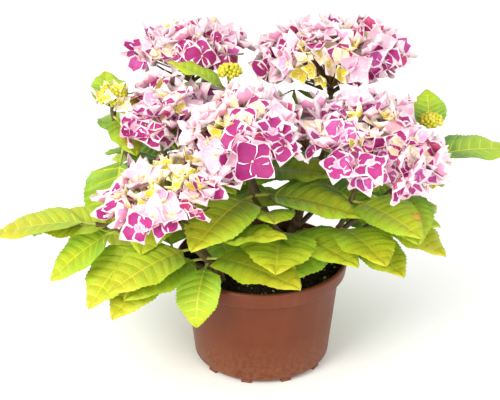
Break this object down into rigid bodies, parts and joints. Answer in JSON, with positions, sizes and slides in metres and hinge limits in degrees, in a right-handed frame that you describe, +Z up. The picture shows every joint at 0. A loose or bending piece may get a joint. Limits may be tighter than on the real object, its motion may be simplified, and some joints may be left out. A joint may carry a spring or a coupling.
{
  "type": "potted hydrangea shrub",
  "caption": "Mophead hydrangea in flower in a moulded nursery pot: woody canes, leafy shoots with ovate leaves, domed two-tone flower heads and side buds.",
  "frame": {"origin": "centre of the flat boss under the pot, level with the undersides of its feet", "axes": "+Z up along the pot's axis, the plant's front towards -Y"},
  "size_m": [0.5064, 0.369, 0.3248],
  "materials": {
    "pot": "satin moulded plastic",
    "soil": "loose damp peat",
    "bark": "matt bark",
    "foliage": "soft leaf",
    "petals": "soft petal",
    "buds": "matt bud"
  },
  "bodies": {
    "root": {"pot": "pot", "soil": "soil", "cane_left": "bark", "cane_centre": "bark", "cane_right": "bark", "cane_back_left": "bark", "cane_back_right": "bark", "bud_left": "buds", "bud_middle": "buds", "bud_right": "buds", "shoot_left_bud": "foliage", "shoot_right_bud": "foliage", "head_top_left": "petals", "head_top_right": "petals", "head_mid_left": "petals", "head_centre": "petals", "head_right": "petals", "head_front_left": "petals", "head_back_left": "petals", "head_back_right": "petals", "shoot_front_left": "foliage", "shoot_centre": "foliage", "shoot_right": "foliage", "shoot_mid_left": "foliage", "shoot_top_right": "foliage", "shoot_top_left": "foliage", "shoot_left_low": "foliage", "shoot_right_low": "foliage", "shoot_middle_bud": "foliage", "shoot_back_left": "foliage", "shoot_back_right": "foliage", "shoot_back_side": "foliage", "shoot_left_side": "foliage"}
  },
  "joints": []
}
